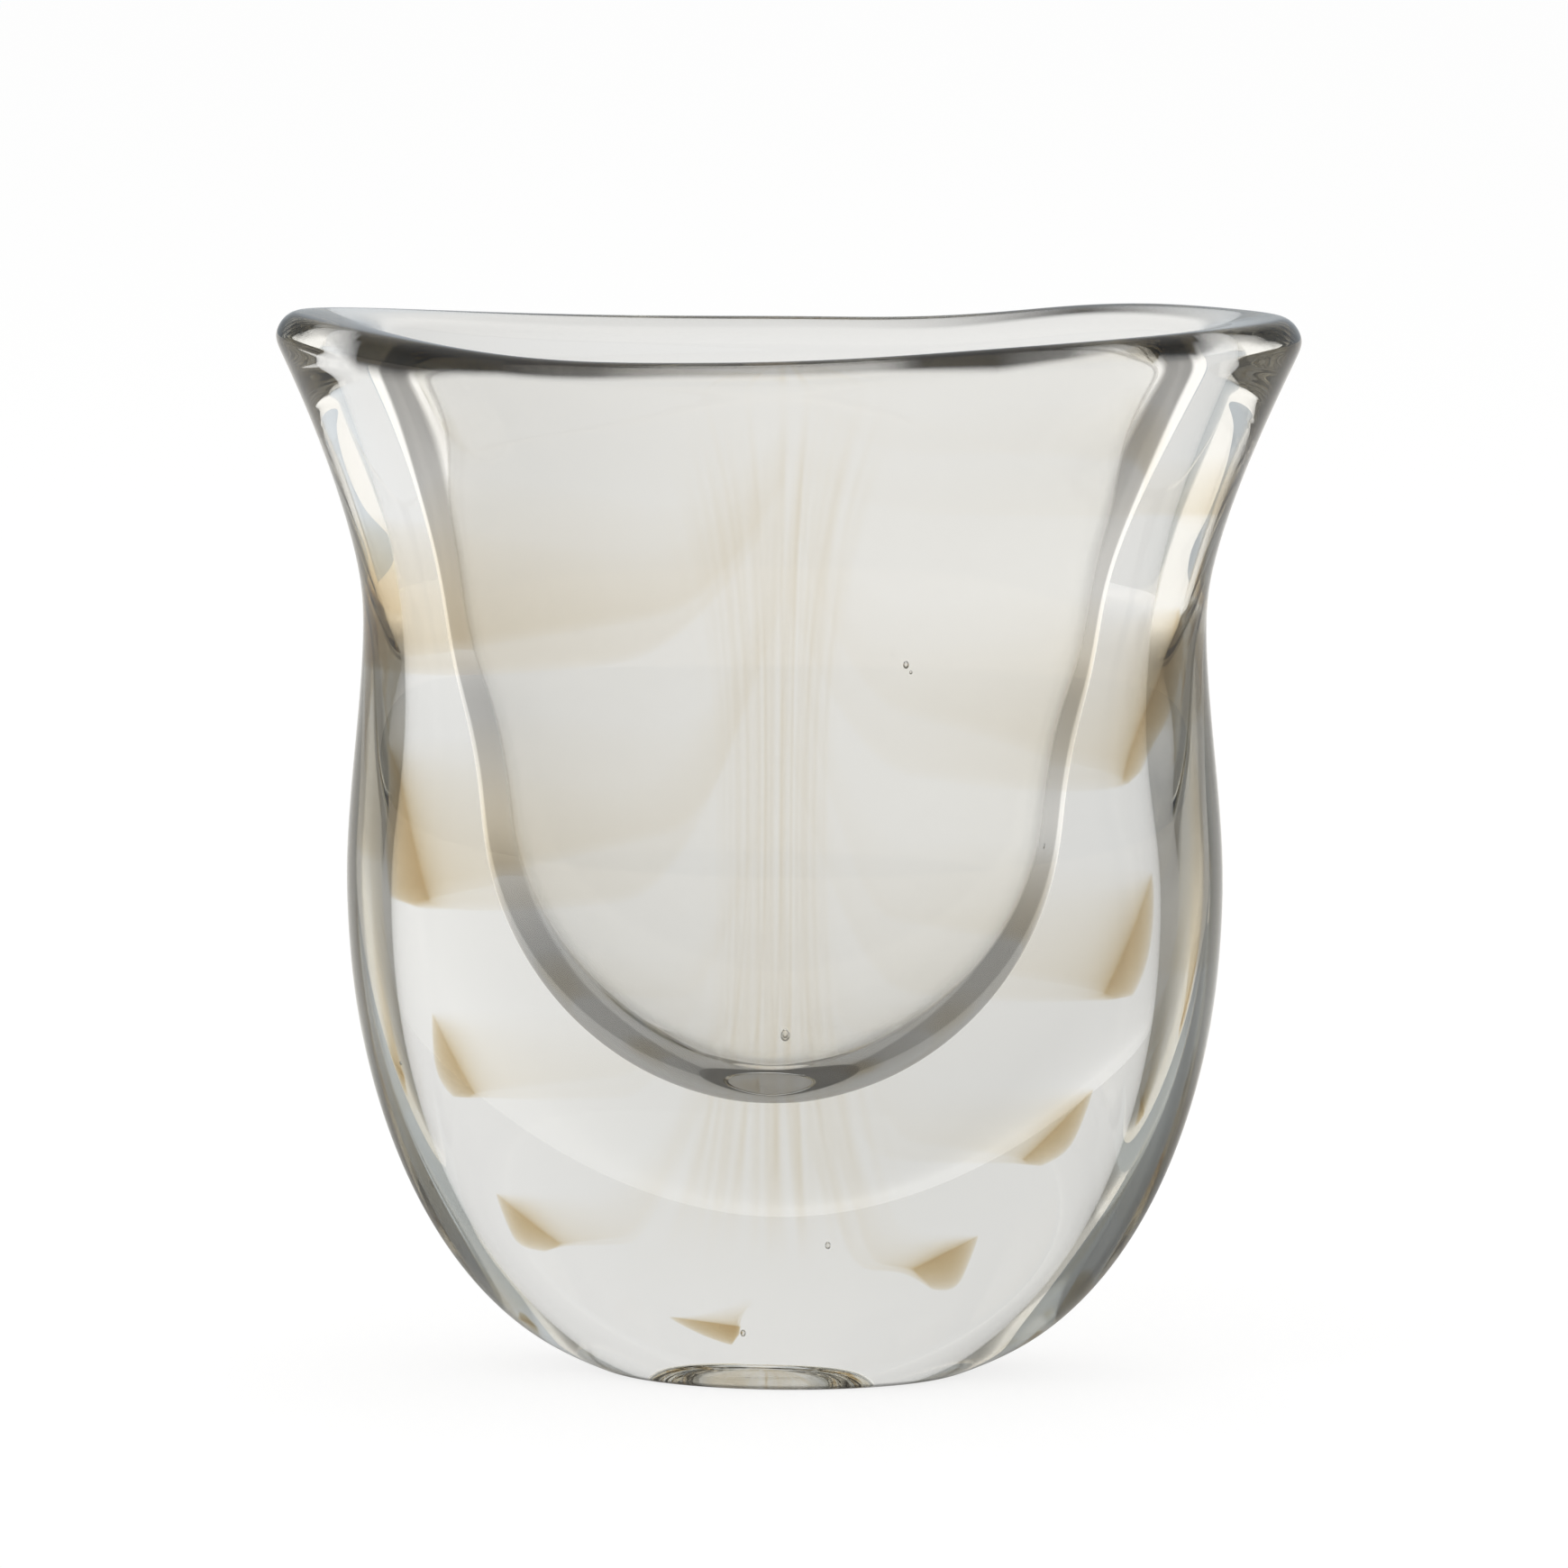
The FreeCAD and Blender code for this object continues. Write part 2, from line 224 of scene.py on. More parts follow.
def next_ring(last, ring, wave=1):
    """Extrude the ring that is selected to the next oval. wave is how much of its wave it keeps."""
    stretch = [new / old for new, old in zip(ring[:2], last[:2])]
    move = (ring[3] - last[3], 0, ring[2] - last[2])
    bpy.ops.mesh.extrude_region_move(TRANSFORM_OT_translate={"value": move})
    bpy.ops.transform.resize(value=(*stretch, wave), center_override=(ring[3], 0, ring[2]))


def close_end():
    bpy.ops.mesh.edge_face_add()


def finish_modelling(piece):
    """Point all faces outwards and leave edit mode."""
    bpy.ops.mesh.select_all(action="SELECT")
    bpy.ops.mesh.normals_make_consistent(inside=False)
    bpy.ops.object.mode_set(mode="OBJECT")
    return piece


def apply_modifier(piece, kind, **settings):
    """Add one modifier, set it and apply it."""
    deselect()
    piece.select_set(True)
    bpy.context.view_layer.objects.active = piece
    modifier = piece.modifiers.new(kind.title(), kind)
    for name, value in settings.items():
        setattr(modifier, name, value)
    bpy.ops.object.modifier_apply(modifier=modifier.name)


# %% [markdown]
# The rings of the wall. On the rounded stretches they stand at even angles of a quarter ellipse,
# which puts them close together where the outline turns fastest. The foot is ground flat and has a
# shallow round hollow where the punty was broken off, so the first rings climb out of that hollow.
# A ground edge is crisp, so it gets two rings close together.

# %% The rings from the hollow to the lip
LOWER_ANGLES = [20, 32, 44, 56, 68, 79, 90]
INNER_ANGLES = [79, 68, 56, 44, 32, 21, 11, 4]
FLARE_SHARES = [0.16, 0.32, 0.48, 0.64, 0.8, 0.93]
LIP_ANGLES = [0, 22, 44, 62]
PARTING_ANGLE = 75
hollow_radius = 19.5 * MM
hollow_depth = 6.2 * MM
hollow_shoulder = 2.6 * MM
crisp = 0.35 * MM
lip_half_wall = (4.5 * MM, 3.6 * MM)


def round_heights(bottom, shoulder, angles):
    return [bottom + (shoulder - bottom) * (1 - math.cos(math.radians(a))) for a in angles]


def rings_at(half_at, heights, centre_at=outer_centre):
    return [(half_at(h, 0), half_at(h, 1), h, centre_at(h)) for h in heights]


def lip_ring(angle, outward):
    """A ring of the rounded lip, from 0 degrees at its foot to 90 at its crest."""
    halves = []
    for axis in (0, 1):
        side = HALVES["mouth"][axis] if outward else pocket_half(lip_height, axis)
        crest = HALVES["mouth"][axis] - lip_half_wall[axis]
        halves.append(mix(crest, side, math.cos(math.radians(angle))))
    height = lip_height + lip_rise * math.sin(math.radians(angle))
    return (*halves, height, mouth_off_centre)


def hollow_ring(angle):
    """A ring of the rounding between the hollow's ceiling, at 90 degrees, and its side."""
    radius = hollow_radius - hollow_shoulder * (1 - math.cos(math.radians(angle)))
    height = hollow_depth - hollow_shoulder * (1 - math.sin(math.radians(angle)))
    return (radius, radius, height, -hollow_off_centre)


def round_ring(radius, height):
    return (radius, radius, height, -hollow_off_centre)


foot_half = (outer_half(0, 0), outer_half(0, 1))
hollow_rings = [round_ring(0.5 * hollow_radius, hollow_depth)]
hollow_rings += [hollow_ring(angle) for angle in (90, 60, 30, 0)]
hollow_rings += [round_ring(hollow_radius, crisp), round_ring(hollow_radius, 0)]
foot_rings = [
    round_ring(hollow_radius + crisp, 0),
    (foot_half[0] - crisp, foot_half[1] - crisp, 0, 0),
    (*foot_half, 0, 0),
    (outer_half(crisp, 0), outer_half(crisp, 1), crisp, 0),
]
outer_rings = rings_at(outer_half, round_heights(-ground_off, belly_height, LOWER_ANGLES))
outer_rings += rings_at(outer_half, [mix(belly_height, waist_height, s / 5) for s in range(1, 6)])
flare_heights = [mix(waist_height, lip_height, share) for share in FLARE_SHARES]
outer_rings += rings_at(outer_half, flare_heights)
outer_rings += [lip_ring(angle, True) for angle in LIP_ANGLES]

inner_rings = [lip_ring(90, True)]
inner_rings += [lip_ring(angle, False) for angle in LIP_ANGLES[::-1]]
pocket_heights = flare_heights[::-1]
pocket_heights += [mix(waist_height, pocket_shoulder, s / 3) for s in range(3)]
pocket_heights += round_heights(pocket_floor, pocket_shoulder, [90] + INNER_ANGLES)
inner_rings += rings_at(pocket_half, pocket_heights, pocket_centre)
print("wall: %d rings outside, %d inside" % (len(outer_rings), len(inner_rings)))

# %% [markdown]
# At the parting ring, where the casing ends on the lip and the gather comes through, the edges are
# marked as a seam. The seam lives through the subdivision, so the wall can be taken apart along it.

# %% Build the wall
parting_ring = lip_ring(PARTING_ANGLE, True)


def extrude_through(last, rings):
    for ring in rings:
        next_ring(last, ring)
        last = ring
    return last


wall_rings = hollow_rings + foot_rings + outer_rings
glass_wall = first_ring("glass_wall", wall_rings[0])
close_end()
bpy.ops.mesh.select_mode(type="EDGE")
last = extrude_through(wall_rings[0], wall_rings[1:] + [parting_ring])
bpy.ops.mesh.mark_seam()
extrude_through(last, inner_rings)
close_end()
finish_modelling(glass_wall)
print("wall cage: %d faces" % len(glass_wall.data.polygons))

# %% [markdown]
# The soft vase was pressed flat between two boards, which pinched the ends of the pocket. The tight
# curve there is what draws the pocket's dark outline, so the points near its ends move inwards. The
# pocket's points are the last of the mesh, after the circle, the outer rings and half the lip.

# %% Pinch the pocket
pinch = 0.22
pinch_fade = 30 * MM
pocket_end = 0.995
inner_start = SEGMENTS * (len(wall_rings) + 1 + len(LIP_ANGLES) + 1)
for vertex in glass_wall.data.vertices[inner_start:]:
    point = vertex.co
    side = abs(point.x - pocket_centre(point.z)) / (ROUNDING * pocket_half(point.z, 0))
    held = ease((lip_height - point.z) / pinch_fade)
    point.y *= (1 - min(side, pocket_end) ** 2) ** (pinch * held)
print("pinched points: %d" % (len(glass_wall.data.vertices) - inner_start))

# %% [markdown]
# ## The wave of the mouth
#
# While the lip was hot it was tooled into a saddle: its two ends stand higher than its middle. A
# Displace modifier with no texture moves points along Z by a vertex group, so the wave is painted
# as weights: full at the front and back of the mouth, nothing at its ends and below the waist. A
# few shallow dips and rises on top of the saddle keep the lip from looking turned on a lathe.

# %% Tool the lip into a saddle
lip_saddle = 3.9 * MM
lip_lean = 1.6 * MM
wave_room = 2 * MM
deepest = lip_saddle + lip_lean + wave_room
DIPS = [
    # 1 for the back or -1 for the front, then place, width and depth in millimetres
    (1, 62, 20, -1.9), (1, 25, 16, 0.9), (-1, -42, 26, 1.9), (-1, 4, 26, 0.9),
]


def bell(value, middle, width):
    return math.exp(-((value - middle) / width) ** 2)


def lip_drop(point):
    """How far the wave takes a point of the mouth down, as a share of the deepest drop."""
    fade = max(point.z - waist_height, 0) / (vase_height - waist_height)
    angle = math.atan2(point.y / HALVES["mouth"][1], point.x / HALVES["mouth"][0])
    drop = math.sin(angle) ** 2 * (lip_saddle - lip_lean * math.cos(angle))
    for back, place, width, depth in DIPS:
        if point.y * back > 0:
            drop += depth * MM * bell(point.x, place * MM, width * MM) * abs(math.sin(angle))
    return fade ** 2 * drop / deepest


saddle = glass_wall.vertex_groups.new(name="saddle")
for vertex in glass_wall.data.vertices:
    saddle.add([vertex.index], lip_drop(vertex.co), "REPLACE")
apply_modifier(glass_wall, "DISPLACE", direction="Z", mid_level=0, strength=-deepest,
               vertex_group="saddle")
apply_modifier(glass_wall, "SUBSURF", levels=3, render_levels=3, boundary_smooth="ALL")
print("wall after subdivision: %d faces" % len(glass_wall.data.polygons))

# %% [markdown]
# ## Two layers from one wall
#
# The casing keeps the outside of the wall and the gather keeps the pocket. Each is closed by the
# surface where the two are fused, which runs down inside the glass from the parting ring. It is
# extruded ring by ring as before, with a hair's gap between the two. Light doesn't see a fused
# seam, so the new faces are noted in a face attribute for the material.

# %% Take the wall apart
seam_gap = 0.03 * MM
seam_heights = [lip_height] + flare_heights[::-1]
seam_heights += [mix(waist_height, gather_shoulder, s / 4) for s in range(5)]
seam_heights += round_heights(gather_bottom, gather_shoulder, INNER_ANGLES)


def lift_share(height):
    """How much of the wave is left at a height."""
    return (max(height - waist_height, 1e-6) / (vase_height - waist_height)) ** 2


def keep_one_side(layer, inside):
    """Delete the faces on the other side of the seam."""
    bpy.ops.object.mode_set(mode="EDIT")
    bpy.ops.mesh.select_mode(type="FACE")
    bpy.ops.mesh.select_all(action="DESELECT")
    bpy.ops.object.mode_set(mode="OBJECT")
    # The lowest face is outside, so it marks the casing's side
    start = min(layer.data.polygons, key=lambda face: face.center.z)
    start.select = True
    bpy.ops.object.mode_set(mode="EDIT")
    bpy.ops.mesh.select_linked(delimit={"SEAM"})
    if not inside:
        bpy.ops.mesh.select_all(action="INVERT")
    bpy.ops.mesh.delete(type="FACE")
    bpy.ops.object.mode_set(mode="OBJECT")


def take_layer(name, inside, gap):
    """Copy the wall, keep one side of its seam, and close it with the fused surface."""
    deselect()
    glass_wall.select_set(True)
    bpy.context.view_layer.objects.active = glass_wall
    bpy.ops.object.duplicate()
    layer = bpy.context.object
    layer.name = layer.data.name = name
    keep_one_side(layer, inside)
    kept = len(layer.data.polygons)
    bpy.ops.object.mode_set(mode="EDIT")
    bpy.ops.mesh.select_mode(type="EDGE")
    bpy.ops.mesh.select_non_manifold()
    bpy.ops.mesh.mark_sharp()
    last = parting_ring
    for ring in rings_at(gather_half, seam_heights, gather_centre):
        ring = (ring[0] - gap, ring[1] - gap, *ring[2:])
        next_ring(last, ring, lift_share(ring[2]) / lift_share(last[2]))
        last = ring
    close_end()
    finish_modelling(layer)
    fused = layer.data.attributes.new("fused", "FLOAT", "FACE")
    fused.data.foreach_set("value", [float(i >= kept) for i in range(len(layer.data.polygons))])
    bpy.ops.object.shade_smooth()
    return layer


casing = take_layer("clear_casing", False, 0)
gather = take_layer("pocket_gather", True, seam_gap)
bpy.data.objects.remove(glass_wall)
print("casing %d faces, gather %d faces" % (len(casing.data.polygons), len(gather.data.polygons)))

# %% [markdown]
# ## The dark lines of clear glass
#
# Clear glass is drawn by its dark lines. They lie where one looks along a surface, or through a
# tight curve, towards the dark parts of a studio: at the lip, at the narrow sides, at the foot's
# ground edge and round the pocket. An even light has no dark parts, so how dark each point is gets
# painted on the layers, as an attribute that the material reads. The lip comes first. Its lines are
# read from a table, because no two places of a hand-made lip are alike.

# %% How dark the lip is
RIM_DARK = [
    # place along the front of the lip, how dark it is there and how far down, in millimetres
    (-92, 0.97, 6.0), (-85, 0.9, 4.0), (-80, 0.2, 2.2), (-74, 1.0, 8.0), (-66, 1.0, 8.0),
    (-56, 1.0, 5.0), (-48, 1.0, 3.6), (-30, 0.97, 3.2), (-18, 0.75, 2.9), (0, 0.6, 2.7),
    (18, 0.7, 2.8), (25, 1.0, 3.2), (40, 1.0, 4.4), (52, 0.95, 3.2), (60, 0.4, 2.4),
    (67, 1.0, 4.5), (74, 1.0, 5.5), (79, 0.2, 2.2), (85, 0.9, 4.0), (92, 0.97, 6.0),
]
rim_band = 20
rim_turn = 20 * MM
rim_fall = 2.4
back_reach = 2.2
back_least = 0.15
back_place, back_width = 52 * MM, 24 * MM


def read_table(table, place):
    """Read the two values of a table at a place between two of its rows."""
    for left, right in zip(table, table[1:]):
        if place <= right[0]:
            break
    share = min(max((place - left[0]) / (right[0] - left[0]), 0), 1)
    return [mix(left[i], right[i], share) for i in (1, 2)]


def rim_share(point):
    """How much painted shade a point gets by how far it lies under the crest of the lip."""
    crest = vase_height - deepest * lip_drop(Vector((point.x, point.y, vase_height)))
    under = (crest - point.z) / MM
    if under > rim_band:
        return 0
    front_dark, front_reach = read_table(RIM_DARK, point.x / MM)
    back_dark = mix(back_least, 1, bell(point.x, back_place, back_width))
    front = ease(0.5 - point.y / rim_turn)
    reach = mix(back_reach, front_reach, front)
    return mix(back_dark, front_dark, front) * ease(rim_fall * (1 - under / reach))


print("lip: darkness at %d places" % len(RIM_DARK))

# %% [markdown]
# The other three places follow from the outline. The painted shade at the narrow sides grows darker
# towards the mouth, where the wall is thin. The foot's ground edge gets a grey line of painted
# shade. The pocket's painted dark line lies where its front turns into its back.

# %% How dark the sides, the foot and the pocket are
SIDE_DARK = [
    # height in millimetres, how dark the narrow side is there, and the share where it starts
    (0, 0.55, 0.90), (40, 0.6, 0.925), (90, 0.62, 0.935), (135, 0.68, 0.952),
    (160, 0.86, 0.95), (185, 0.98, 0.95),
]
side_run = 0.03
foot_dark = 0.85
foot_reach = 1.1 * MM
pocket_dark = 0.35
pocket_run = 2 * MM
pocket_margin = 3 * MM


# Painted shade at the narrow sides, at the foot's ground edge and round the pocket.
def side_share(point):
    height = min(point.z, lip_height)
    side = abs(point.x - outer_centre(height)) / outer_half(max(height, 0), 0)
    dark, start = read_table(SIDE_DARK, height / MM)
    return dark * ease((side - start) / side_run)


def foot_share(point):
    return foot_dark * ease(2 - 2 * point.z / foot_reach)


def pocket_share(point):
    if not pocket_floor - MM < point.z < lip_height:
        return 0
    beside = abs(point.x - pocket_centre(point.z)) - pocket_half(max(point.z, pocket_floor), 0)
    if beside > pocket_margin:
        return 0
    held = ease((lip_height - point.z) / pinch_fade)
    return pocket_dark * held * bell(point.y, 0, pocket_run)


# Painted shade: the lip, the sides, the foot and the pocket go into one point attribute.
def paint_dark(layer):
    painted_shade = layer.data.attributes.new("painted_shade", "FLOAT", "POINT")
    shares = [
        max(share(vertex.co) for share in (rim_share, side_share, foot_share, pocket_share))
        for vertex in layer.data.vertices
    ]
    painted_shade.data.foreach_set("value", shares)
    return sum(share > 0.5 for share in shares)


for layer in (casing, gather):
    print("%s: %d dark points of %d" % (layer.name, paint_dark(layer), len(layer.data.vertices)))

# %% [markdown]
# ## Seed bubbles
#
# A few small bubbles were trapped in the glass. A bubble is a hole, so its faces point inwards and
# it is joined to the layer that it lies in.

# %% Seed bubbles
BUBBLES = [
    # layer, place and radius in millimetres
    (gather, (23.2, -26.5, 131.0), 0.55),
    (gather, (24.0, -26.0, 129.6), 0.28),
    (gather, (2.0, -21.5, 65.0), 0.85),
    (gather, (8.5, -11.0, 27.0), 0.5),
    (gather, (-6.0, -2.0, 11.5), 0.45),
    (casing, (76.0, -1.0, 85.6), 0.6),
    (casing, (-66.0, -12.0, 57.0), 0.3),
]
bubble_stretch = 1.3


def blow_bubble(layer, place, radius):
    deselect()
    bpy.ops.mesh.primitive_uv_sphere_add(segments=16, ring_count=8, radius=radius * MM)
    bubble = bpy.context.object
    bpy.ops.object.mode_set(mode="EDIT")
    bpy.ops.transform.resize(value=(1, 1, bubble_stretch), center_override=(0, 0, 0))
    bpy.ops.transform.translate(value=[part * MM for part in place])
    bpy.ops.mesh.flip_normals()
    bpy.ops.object.mode_set(mode="OBJECT")
    bpy.ops.object.shade_smooth()
    layer.select_set(True)
    bpy.context.view_layer.objects.active = layer
    bpy.ops.object.join()


for row in BUBBLES:
    blow_bubble(*row)
print("bubbles: %d" % len(BUBBLES))

# %% [markdown]
# ## The amber swags
#
# The trail was wound on the gather as a spiral and combed upwards in the middle of each broad
# face, so each turn hangs as a swag from the front comb line round a narrow side to the back one.
# Each swag is a strip of a grid laid on the gather's surface. It is dense along its lower edge and
# feathers out upwards. A Solidify modifier can do that: its thickness follows a vertex group.

# %% Strips on the gather
sunk = 0.15 * MM


def add_strip(name, columns, rows):
    """Add a grid, and the group that will hold its thickness."""
    deselect()
    bpy.ops.mesh.primitive_grid_add(x_subdivisions=columns, y_subdivisions=rows, size=2)
    strip = bpy.context.object
    strip.name = strip.data.name = name
    return strip, strip.vertex_groups.new(name="body")


def thicken(strip, depth, offset):
    """Thicken a strip by its group, to the side that offset gives, and smooth it."""
    apply_modifier(strip, "SOLIDIFY", thickness=depth, offset=offset, vertex_group="body")
    bpy.ops.object.mode_set(mode="EDIT")
    finish_modelling(strip)
    bpy.ops.object.shade_smooth()
    return strip


# %% [markdown]
# The table has one row for each half turn of the trail. Along a swag, share runs from one comb line
# to the other, and across it from the lower edge to the upper. Near the comb lines the strip is
# pulled up and gets slimmer. At the narrow side one looks at it edge on, so it needs to be a solid
# sliver there, and only a thin haze on the faces.

# %% Places of the swags
SWAGS = [
    # name, side, shares of the height (middle, half its own height, rise of its comb), then
    # in millimetres: thickness on the faces and at the narrow side, and how far inside the
    # gather's surface it lies there at its lower and its upper edge
    ("amber_swag_right_1", 1, 0.852, 0.029, 0.045, 0.5, 3.0, 3.0, 2.0),
    ("amber_swag_left_1", -1, 0.742, 0.077, 0.110, 2.7, 4.4, 3.0, 1.0),
    ("amber_swag_right_2", 1, 0.645, 0.085, 0.170, 1.3, 5.0, 9.5, 6.5),
    ("amber_swag_left_2", -1, 0.518, 0.072, 0.235, 1.9, 4.4, 7.0, 1.0),
    ("amber_swag_right_3", 1, 0.422, 0.054, 0.260, 1.2, 4.4, 8.2, 4.5),
    ("amber_swag_left_3", -1, 0.308, 0.036, 0.270, 0.7, 4.8, 7.5, 4.5),
    ("amber_swag_right_4", 1, 0.250, 0.032, 0.240, 0.6, 5.2, 8.0, 3.5),
    ("amber_swag_left_4", -1, 0.160, 0.022, 0.250, 0.7, 5.6, 6.5, 2.5),
    ("amber_swag_right_5", 1, 0.134, 0.015, 0.200, 0.7, 8.0, 9.5, 5.0),
    ("amber_tail", -1, 0.070, 0.0042, 0.020, 1.5, 1.4, 17.0, 9.0),
]
ALONG = 72
ACROSS = 12
comb_gap = 1.6 * MM
comb_reach = 29 * MM
crowding = 1.2
tip_height = 0.35


def swag_point(side, share, across, middle, half_height, rise, depth):
    """A point of a swag: share runs from -1 to 1 along it, across from 0 to 1 up it."""
    edge_half = gather_half(middle, 0)
    tip_angle = math.acos(comb_gap / edge_half)
    angle = tip_angle * math.copysign(abs(share) ** crowding, share)
    reach = min(comb_reach, edge_half)
    pull = max(1 - edge_half * math.cos(angle) / reach, 0)
    slim = mix(1, tip_height, abs(share) ** 3)
    height = middle + rise * pull ** 2 + (2 * across - 1) * half_height * slim
    return Vector((
        gather_centre(height) + side * (gather_half(height, 0) - depth) * math.cos(angle),
        (gather_half(height, 1) - sunk) * math.sin(angle),
        height,
    ))


print("swags: %d rows" % len(SWAGS))

# %% Lay the swags
edge_reach = 2.8 * MM
near_depth = 0.7 * MM
near_reach = 9 * MM
thickest = 9.5 * MM
slimmest = 0.005
feather = 0.65
tip_fade = 0.75
round_share, round_start = 0.03, 0.4


def fin_depth(inset, share, across, face_depth, edge_depth):
    """How thick a swag is: a thin haze on the faces and a sliver at the narrow side."""
    haze = (face_depth + near_depth * math.exp(-inset / near_reach)) * (1 - across) ** feather
    haze *= 1 - tip_fade * abs(share) ** 3
    sliver = edge_depth * math.exp(-(inset / edge_reach) ** 2) * (1 - across)
    return (haze + sliver) * min(across / round_share + round_start, 1)


def lay_swag(name, side, middle_share, half_share, rise_share, face_depth, edge_depth,
             low_inside, high_inside):
    swag, body = add_strip(name, ALONG, ACROSS)
    middle, half_height, rise = [
        part * vase_height for part in (middle_share, half_share, rise_share)
    ]
    edge_half = gather_half(middle, 0)
    for vertex in swag.data.vertices:
        share, across = vertex.co.x, (vertex.co.y + 1) / 2
        inside = mix(low_inside, high_inside, across) * MM + sunk
        vertex.co = swag_point(side, share, across, middle, half_height, rise, inside)
        inset = edge_half - inside - side * (vertex.co.x - gather_centre(vertex.co.z))
        depth = fin_depth(max(inset, 0), share, across, face_depth * MM, edge_depth * MM)
        body.add([vertex.index], max(depth / thickest, slimmest), "REPLACE")
    return thicken(swag, thickest, side)


swags = [lay_swag(*row) for row in SWAGS]
print("swags: %d pieces of %d faces" % (len(swags), len(swags[0].data.polygons)))

# %% [markdown]
# The comb itself left fine lines in the amber, up the middle of each broad face. They are one more
# strip of a grid, thick and thin by turns across its width, and they spread a little at both ends.

# %% Comb lines
COMB_COLUMNS = 40
COMB_ROWS = 60
comb_middle = -1.0 * MM
comb_bottom, comb_top = 20 * MM, 176 * MM
comb_waist, comb_ends = 11 * MM, 26 * MM
comb_fan = 2.5
comb_fade = 6
comb_depth = 2.6 * MM
comb_slimmest = 0.01


def lay_comb_lines(name, front):
    """Lines on the gather's front for -1, on its back for 1."""
    lines, body = add_strip(name, COMB_COLUMNS, COMB_ROWS)
    dice = random.Random(7 + front)
    wires = [dice.random() ** 2 for _ in range(COMB_COLUMNS + 1)]
    for vertex in lines.data.vertices:
        across, along = vertex.co.x, (vertex.co.y + 1) / 2
        height = mix(comb_bottom, comb_top, along)
        spread = mix(comb_waist, comb_ends, abs(2 * along - 1) ** comb_fan)
        offset = comb_middle + spread * across
        angle = math.acos((offset - gather_centre(height)) / gather_half(height, 0))
        fade = (1 - across ** 2) * ease(comb_fade * along) * ease(comb_fade * (1 - along))
        wire = wires[round((across + 1) / 2 * COMB_COLUMNS)]
        body.add([vertex.index], max(wire * fade, comb_slimmest), "REPLACE")
        vertex.co = (offset, front * (gather_half(height, 1) - sunk) * math.sin(angle), height)
    return thicken(lines, comb_depth, -front)


comb_lines = [lay_comb_lines("comb_lines_front", -1), lay_comb_lines("comb_lines_back", 1)]
print("comb lines: %d strips" % len(comb_lines))

# %% [markdown]
# ## Glass
#
# Clear glass is a Principled shader with full transmission. A fused seam is no surface at all to
# light, so there Alpha is 0. Both layers read the same two attributes, the painted shade of the
# dark lines and the fused faces, so that part is a node group, built once and placed in each
# material with its own tint. A few helpers keep the node trees short to write.

# %% Node helpers
def new_material(name):
    material = bpy.data.materials.new(name)
    material.use_nodes = True
    return material, material.node_tree.nodes, material.node_tree.links


def fill(links, socket, value):
    """Set a socket to a plain number or colour, or link it."""
    if isinstance(value, bpy.types.NodeSocket):
        links.new(value, socket)
    else:
        socket.default_value = (*value, 1) if isinstance(value, tuple) else value


def maths(nodes, links, operation, *values):
    node = nodes.new("ShaderNodeMath")
    node.operation = operation
    for socket, value in zip(node.inputs, values):
        fill(links, socket, value)
    return node.outputs[0]


def mix_colors(nodes, links, share, first, second):
    node = nodes.new("ShaderNodeMix")
    node.data_type = "RGBA"
    for name, value in (("Factor", share), ("A", first), ("B", second)):
        fill(links, node.inputs[name], value)
    return node.outputs["Result"]


def map_range(nodes, links, value, old, new=(0, 1)):
    """Turn a range of values into another, and stay inside it."""
    node = nodes.new("ShaderNodeMapRange")
    links.new(value, node.inputs["Value"])
    node.inputs["From Min"].default_value, node.inputs["From Max"].default_value = old
    node.inputs["To Min"].default_value, node.inputs["To Max"].default_value = new
    return node.outputs["Result"]


def attribute(nodes, name):
    node = nodes.new("ShaderNodeAttribute")
    node.attribute_name = name
    return node.outputs["Fac"]


def build_marks():
    """Turn a layer's attributes into its tint with painted shade in it, and its bare surface."""
    group = bpy.data.node_groups.new("glass_marks", "ShaderNodeTree")
    group.interface.new_socket("Clear Tint", in_out="INPUT", socket_type="NodeSocketColor")
    group.interface.new_socket("Painted Shade", in_out="INPUT", socket_type="NodeSocketColor")
    group.interface.new_socket("Tint", in_out="OUTPUT", socket_type="NodeSocketColor")
    group.interface.new_socket("Bare", in_out="OUTPUT", socket_type="NodeSocketFloat")
    nodes, links = group.nodes, group.links
    given = nodes.new("NodeGroupInput").outputs
    result = nodes.new("NodeGroupOutput").inputs
    painted_shade, fused = attribute(nodes, "painted_shade"), attribute(nodes, "fused")
    tint = mix_colors(nodes, links, painted_shade, given["Clear Tint"], given["Painted Shade"])
    links.new(tint, result["Tint"])
    links.new(maths(nodes, links, "SUBTRACT", 1, fused), result["Bare"])
    return group


glass_marks = build_marks()
print("group: %s" % glass_marks.name)

# %% [markdown]
# The lamps' rays get through the glass mostly unbent, which gives the light shadow that glass has.
# The faint warm grey of the batch is in the volume, so thick glass is darker. The tint works once
# for each surface that light crosses.

# %% Clear glass
casing_tint = (1, 1, 1)
gather_tint = (0.9, 0.89, 0.865)
# The painted shade of the dark lines, nearly black.
painted_shade_color = (0.003, 0.0022, 0.001)
batch_color, batch_density = (0.15, 0.13, 0.0), 3.3
open_to_shadow = 0.9


def add_absorption(nodes, links, color, density):
    """Fill the inside with absorption. Each metre takes density * (1 - color) of the light."""
    volume = nodes.new("ShaderNodeVolumeAbsorption")
    volume.inputs["Color"].default_value = (*color, 1)
    volume.inputs["Density"].default_value = density
    links.new(volume.outputs["Volume"], nodes["Material Output"].inputs["Volume"])


